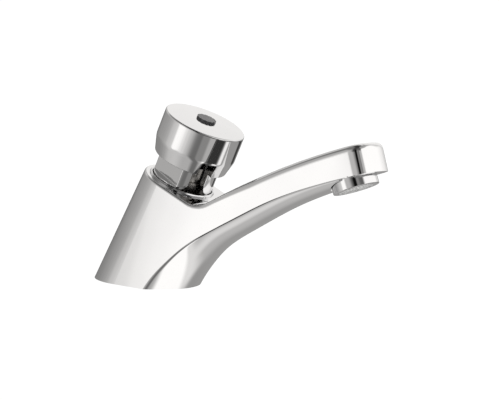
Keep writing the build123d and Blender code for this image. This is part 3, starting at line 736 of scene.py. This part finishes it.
def metal(name, dark, light, rough, scale, wear=0.0):
    """Plated or turned metal: colour drifting between two tints, roughness by noise, and a fine ripple."""
    m, tree, shader = material(name)
    shader.inputs["Metallic"].default_value = 1.0
    colour = blend_colours(tree, noise(tree, scale, 3.0, 0, 1), dark, light)
    tree.links.new(colour, shader.inputs["Base Color"])
    tree.links.new(noise(tree, scale * 2, 4.0, *rough), shader.inputs["Roughness"])
    if wear:
        grain(tree, shader, RIPPLE_SCALE, 2.0, wear, RIPPLE_HEIGHT)
    return m


def moulded(name, dark, light, rough, scale, depth):
    """Plastic or rubber: slight colour drift and a fine moulded grain."""
    m, tree, shader = material(name)
    colour = blend_colours(tree, noise(tree, scale / 8, 3.0, 0, 1), dark, light)
    tree.links.new(colour, shader.inputs["Base Color"])
    tree.links.new(noise(tree, scale / 4, 3.0, *rough), shader.inputs["Roughness"])
    grain(tree, shader, scale, 3.0, depth, MOULD_HEIGHT)
    return m


def paint_bore_shade(m, radius, top_level, grey):
    """Painted shade in a plated piece's bore: its base colour turns to a flat grey nearer the column's axis
    than a radius and below a level.

    The distance from the axis is the length of the offset's cross product with it, and the level is the
    dot product."""
    tree = m.node_tree
    shader = next(n for n in tree.nodes if n.type == "BSDF_PRINCIPLED")
    plated = shader.inputs["Base Color"].links[0].from_socket
    place = tree.nodes.new("ShaderNodeTexCoord")
    soft = 0.1
    off = vector_calc(tree, "SUBTRACT", place.outputs["Object"], FOOT * MM)["Vector"]
    square = vector_calc(tree, "CROSS_PRODUCT", off, AXIS)["Vector"]
    far = vector_calc(tree, "LENGTH", square)["Value"]
    level = vector_calc(tree, "DOT_PRODUCT", off, AXIS)["Value"]
    outside = ramp(tree, far, ((radius - soft) * MM, 0.0), ((radius + soft) * MM, 1.0))
    over = ramp(tree, level, ((top_level - soft) * MM, 0.0), ((top_level + soft) * MM, 1.0))
    colour = blend_colours(tree, calc(tree, "MAXIMUM", outside, over), (grey, grey, grey), plated)
    tree.links.new(colour, shader.inputs["Base Color"])


# Finishes: two tints, the roughness from and to, the scale of their drift, and the depth of ripple or grain

METALS = {
    "chrome_body": ((0.86, 0.86, 0.865), (0.90, 0.90, 0.90), (0.025, 0.05), 30.0),
    "chrome_button": ((0.86, 0.86, 0.865), (0.90, 0.90, 0.90), (0.03, 0.055), 40.0),
    "chrome_trim": ((0.80, 0.80, 0.81), (0.86, 0.86, 0.86), (0.04, 0.08), 80.0),
    "chrome_outlet": ((0.82, 0.82, 0.83), (0.88, 0.88, 0.88), (0.04, 0.07), 80.0),
    "bonnet_brass": ((0.46, 0.44, 0.42), (0.58, 0.56, 0.53), (0.25, 0.4), 120.0, 0.3),
    "nut_brass": ((0.62, 0.46, 0.22), (0.76, 0.60, 0.32), (0.18, 0.32), 90.0, 0.3),
    "shank_brass": ((0.64, 0.50, 0.26), (0.78, 0.64, 0.36), (0.2, 0.34), 70.0, 0.4),
    "seat_steel": ((0.52, 0.52, 0.53), (0.66, 0.66, 0.66), (0.2, 0.32), 120.0, 0.3),
    "spindle_steel": ((0.58, 0.58, 0.59), (0.70, 0.70, 0.70), (0.12, 0.2), 120.0, 0.2),
    "spring_steel": ((0.45, 0.45, 0.46), (0.60, 0.60, 0.60), (0.2, 0.3), 200.0, 0.2),
    "filter_steel": ((0.50, 0.50, 0.50), (0.64, 0.64, 0.64), (0.3, 0.4), 200.0, 0.3),
    "zinc_steel": ((0.60, 0.62, 0.63), (0.74, 0.75, 0.76), (0.2, 0.35), 150.0, 0.5),
}
MOULDINGS = {
    "seal_rubber": ((0.012, 0.012, 0.012), (0.03, 0.03, 0.03), (0.5, 0.65), 400.0, 0.2),
    "dark_plug": ((0.035, 0.035, 0.038), (0.09, 0.09, 0.093), (0.2, 0.35), 300.0, 0.3),
    "pale_plastic": ((0.72, 0.71, 0.67), (0.82, 0.81, 0.77), (0.35, 0.5), 400.0, 0.2),
    "grey_plastic": ((0.60, 0.60, 0.59), (0.74, 0.74, 0.73), (0.4, 0.55), 1500.0, 0.5),
}
finishes = {name: metal(name, *look) for name, look in METALS.items()}
finishes |= {name: moulded(name, *look) for name, look in MOULDINGS.items()}
# Painted shade: the button's bore, within 12.2 mm of the axis and below level 90, gets a dark grey base
# colour.
paint_bore_shade(finishes["chrome_button"], radius=12.2, top_level=90.0, grey=0.22)

slots = {s["node"]: s["material_slot"] for s in frame["record"]["subparts"]}
for name, obj in nodes.items():
    obj.data.materials.clear()
    obj.data.materials.append(finishes[slots[name]])

# The deck hides these from the metal above it.
UNDER_DECK = ("inlet_shank", "rubber_washer", "steel_washer", "backnut")
for name in UNDER_DECK:
    nodes[name].visible_glossy = False

# Pieces with a worked-out surface of their own: boxes round the skins, and outlines as (radius, level)

BODY_BOX = ((-37, -27, -2), (146, 27, 92))
BODY_CELL = 0.72
CAP_BOX = ((-24, -24, 60), (24, 24, 99.5))
CAP_CELL = 0.6
TRIM_RING_OUTLINE = (
    (16.65, 57.6), (18.1, 57.6), (18.1, 61.3), (18.02, 61.42), (17.72, 61.84),
    (17.55, 61.9), (17.2, 61.9), (16.72, 61.48), (16.65, 61.35),
)
OUTLET_SHELL_OUTLINE = (
    (9.1, 0.0), (9.25, -0.02), (11.2, 0.0), (11.45, 0.08), (11.6, 0.3), (11.6, 7.0),
    (11.0, 7.0), (11.0, 12.4), (9.8, 12.4), (9.8, 0.9), (9.1, 0.9),
)

coarse = 1.0
body = skin_object("body_skin", casting_at, casting_lattice, BODY_BOX, BODY_CELL * coarse)
button = skin_object(
    "push_cap_skin", cap_upright, lattice_of(cap_upright), CAP_BOX, CAP_CELL * coarse, COLUMN_TURN, FOOT
)
ring = turned("trim_ring_skin", TRIM_RING_OUTLINE, FOOT, AXIS, AHEAD)
shell = turned("outlet_shell_skin", OUTLET_SHELL_OUTLINE, OUT, OUT_UP, OUT_AHEAD)
for piece, node, rides, finish in (
    (body, "body", "tap", "chrome_body"),
    (button, "push_cap", "button", "chrome_button"),
    (ring, "trim_ring", "tap", "chrome_trim"),
    (shell, "outlet_shell", "tap", "chrome_outlet"),
):
    piece.data.materials.append(finishes[finish])
    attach(piece, rides)
    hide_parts(node)

# Camera: its turn, rise and roll, the place it looks at, and its focal length and shift in pixels

CAMERA_TURN, CAMERA_RISE, CAMERA_ROLL = math.radians(36.79), math.radians(6.39), math.radians(2.82)
LOOKED_AT = np.array([40.0, 0.0, 45.0])
CAMERA_DISTANCE = 780.5
PICTURE_WIDTH = 500.0
SENSOR_WIDTH = 36.0
FOCAL_PIXELS = 1484.5
SHIFT_PIXELS = (36.0, 6.9)


def stand_camera(scene):
    """The camera at its distance from the place it looks at, turned by the three angles."""
    flat = math.cos(CAMERA_RISE)
    toward = np.array([flat * math.sin(CAMERA_TURN), -flat * math.cos(CAMERA_TURN), math.sin(CAMERA_RISE)])
    right = np.array([math.cos(CAMERA_TURN), math.sin(CAMERA_TURN), 0.0])
    up = np.cross(toward, right)
    rolled_right = math.cos(CAMERA_ROLL) * right + math.sin(CAMERA_ROLL) * up
    rolled_up = math.cos(CAMERA_ROLL) * up - math.sin(CAMERA_ROLL) * right
    spot = (LOOKED_AT + CAMERA_DISTANCE * toward) * MM
    lens = bpy.data.cameras.new("camera")
    lens.lens = FOCAL_PIXELS * SENSOR_WIDTH / PICTURE_WIDTH
    lens.sensor_width = SENSOR_WIDTH
    lens.shift_x = SHIFT_PIXELS[0] / PICTURE_WIDTH
    lens.shift_y = SHIFT_PIXELS[1] / PICTURE_WIDTH
    lens.clip_start = 0.01
    camera = bpy.data.objects.new("camera", lens)
    place = Matrix.Identity(4)
    for i in range(3):
        place[i] = rolled_right[i], rolled_up[i], toward[i], spot[i]
    camera.matrix_world = place
    scene.collection.objects.link(camera)
    scene.camera = camera


scene = bpy.context.scene
stand_camera(scene)
scene.view_settings.view_transform = "Standard"

# Floor and surroundings are plain white to the eye, and matt surfaces are lit by that white. The metal sees
# a grey studio instead, with soft white boxes at the left, the right and the back, a white sheet below at
# the right, and dark flags on the camera's side.

WHITE = 1.05
FLOOR_SPAN = 4000.0
STUDIO_TINT = (1.0, 0.985, 0.97, 1)
STUDIO_TURN = 36.8
STUDIO_GREY = 0.46

# Brightness of the band about the horizon, by turn in degrees from the camera's direction (positive to the
# right), and how much of it shows, by the sine of the elevation
BAND = (
    (-180, 0.05), (-172, 0.1), (-160, 0.2), (-150, 0.255), (-130, 0.27), (-118, 0.31), (-107, 0.37),
    (-100, 0.43), (-85, 0.6), (-75, 0.68), (-73, 0.82), (-72.4, 0.94), (-71, 1.02), (-69, 1.12),
    (-54, 1.12), (-48, 0.97), (-42, 0.76), (-33, 0.58), (-26, 0.48), (-20, 0.3), (-12, 0.15), (-4, 0.1),
    (60, 0.05), (90, 0.08), (112, 0.4), (145, 0.3), (170, 0.12), (180, 0.05),
)
BAND_SHARE = ((-0.5, 0.0), (-0.31, 1.0), (0.02, 1.0), (0.12, 0.6), (0.22, 0.25), (0.32, 0.0))

# Soft boxes and flags round the tap, each laid over the ones before it: centre, half width and softness of
# the turn, then of the sine of the elevation, and the brightness. A half width of 400 goes all the way round.
PANELS = (
    (0, 400, 1, 1.0, 0.25, 0.15, 0.32),  # ceiling
    (-60, 60, 20, 0.75, 0.2, 0.1, 0.19),  # high at the left
    (150, 60, 20, -0.45, 0.3, 0.15, 0.34),  # low at the back
    (150, 50, 20, -1.0, 0.29, 0.13, 0.52),  # below, at the back
    (150, 50, 20, -0.91, 0.04, 0.035, 0.75),  # a lighter strip in it
    (105, 40, 10, -0.5, 0.18, 0.06, 0.33),  # low at the right
    (-68, 22, 16, -0.45, 0.2, 0.1, 0.6),  # low at the left
    (-10, 14, 9, -0.72, 0.32, 0.1, 0.16),  # dark flag under the camera
    (10, 11, 5, -0.62, 0.12, 0.05, 0.26),  # grey card beside it
    (90, 40, 16, -0.9, 0.18, 0.05, 0.8),  # light sheet below at the right
    (-140, 14, 6, 0.6, 0.16, 0.06, 0.62),  # box high at the back, left
    (-45, 12, 5, -0.93, 0.065, 0.02, 0.05),  # small dark flag below at the left
    (60, 40, 8, -0.9, 0.18, 0.04, 1.12),  # white sheet below at the right
    (-40, 14, 6, 0.12, 0.12, 0.04, 0.52),  # grey card at the left
    (0, 34, 12, 0.6, 0.4, 0.1, 0.05),  # dark flag over the camera
    (152, 24, 10, 0.875, 0.055, 0.03, 1.1),  # white strip high at the back
    (30, 12, 6, 0.36, 0.2, 0.07, 0.5),  # grey card right of the camera
    (8, 8, 4, 0.3, 0.25, 0.07, 0.25),  # darker card beside it
    (20, 24, 8, 0.56, 0.14, 0.02, 0.13),  # dark flag above both
    (-7.5, 7, 3, 0.28, 0.25, 0.07, 0.005),  # black strip left of the camera
    (128, 14, 8, 0.45, 0.16, 0.08, 0.62),  # grey card between the boxes
    (119, 15, 7, 0.2, 0.14, 0.05, 0.95),  # light card under it
    (82, 42, 8, 0.38, 0.2, 0.05, 1.12),  # soft box at the right
    (163, 26, 8, 0.4, 0.34, 0.05, 0.92),  # soft box at the back
    (143, 16, 5, -0.27, 0.07, 0.02, 0.05),  # dark strip below it
    (0, 400, 1, 1.0, 0.07, 0.04, 0.04),  # dark patch straight overhead
)


def glowing(tree, kind, colour, strength=0.0):
    """A Background or Emission shader."""
    n = tree.nodes.new(kind)
    n.inputs["Color"].default_value = colour
    n.inputs["Strength"].default_value = strength
    return n


def lay_floor():
    """One wide white square, which neither the metal nor matt surfaces see."""
    corners = np.array([[-1, -1, 0], [1, -1, 0], [1, 1, 0], [-1, 1, 0]]) * FLOOR_SPAN
    floor = mesh_object("floor", corners, np.array([[0, 1, 2, 3]]))
    m = bpy.data.materials.new("floor")
    m.use_nodes = True
    tree = m.node_tree
    tree.nodes.clear()
    out = tree.nodes.new("ShaderNodeOutputMaterial")
    glow = glowing(tree, "ShaderNodeEmission", (1, 1, 1, 1), WHITE)
    tree.links.new(glow.outputs[0], out.inputs[0])
    floor.data.materials.append(m)
    floor.visible_glossy = False
    floor.visible_diffuse = False
    return floor


def within(tree, value, centre, half, soft, wrapped=False):
    """1 within a half width of a centre, falling softly to 0 past it."""
    off = calc(tree, "SUBTRACT", value, centre)
    if wrapped:
        off = calc(tree, "WRAP", off, 180.0, -180.0)
    return ramp(tree, calc(tree, "ABSOLUTE", off), (half - soft, 1.0), (half + soft, 0.0))


def studio_brightness(tree):
    """The brightness that the metal sees in each direction: grey, then the band, then the panels over it.

    The turn is the angle of (x, -y) less the camera's, and laying a value over another moves it by the
    mask's share of their difference."""
    place = tree.nodes.new("ShaderNodeTexCoord")
    split = tree.nodes.new("ShaderNodeSeparateXYZ")
    tree.links.new(place.outputs["Generated"], split.inputs[0])
    turn = calc(tree, "ARCTAN2", split.outputs[0], calc(tree, "MULTIPLY", split.outputs[1], -1.0))
    turn = calc(tree, "SUBTRACT", calc(tree, "MULTIPLY", turn, 180.0 / math.pi), STUDIO_TURN)
    turn = calc(tree, "WRAP", turn, 180.0, -180.0)
    height = split.outputs[2]
    over_grey = calc(tree, "SUBTRACT", ramp(tree, turn, *BAND), STUDIO_GREY)
    level = calc(tree, "MULTIPLY_ADD", over_grey, ramp(tree, height, *BAND_SHARE), STUDIO_GREY)
    for centre, half, soft, rise, half_rise, soft_rise, bright in PANELS:
        across = within(tree, turn, centre, half, soft, wrapped=True)
        upright = within(tree, height, rise, half_rise, soft_rise)
        mask = calc(tree, "MULTIPLY", across, upright)
        level = calc(tree, "MULTIPLY_ADD", calc(tree, "SUBTRACT", bright, level), mask, level)
    return level


def light_studio(scene):
    """The world: plain white to the eye and to matt surfaces, and the studio to the metal."""
    world = bpy.data.worlds.new("studio")
    scene.world = world
    world.use_nodes = True
    tree = world.node_tree
    tree.nodes.clear()
    out = tree.nodes.new("ShaderNodeOutputWorld")
    path = tree.nodes.new("ShaderNodeLightPath")
    mix = tree.nodes.new("ShaderNodeMixShader")
    plain = calc(tree, "MAXIMUM", path.outputs["Is Camera Ray"], path.outputs["Is Diffuse Ray"])
    mirrored = glowing(tree, "ShaderNodeBackground", STUDIO_TINT)
    tree.links.new(studio_brightness(tree), mirrored.inputs["Strength"])
    tree.links.new(plain, mix.inputs[0])
    tree.links.new(mirrored.outputs[0], mix.inputs[1])
    seen = glowing(tree, "ShaderNodeBackground", (1, 1, 1, 1), WHITE)
    tree.links.new(seen.outputs[0], mix.inputs[2])
    tree.links.new(mix.outputs[0], out.inputs[0])


floor = lay_floor()
light_studio(scene)
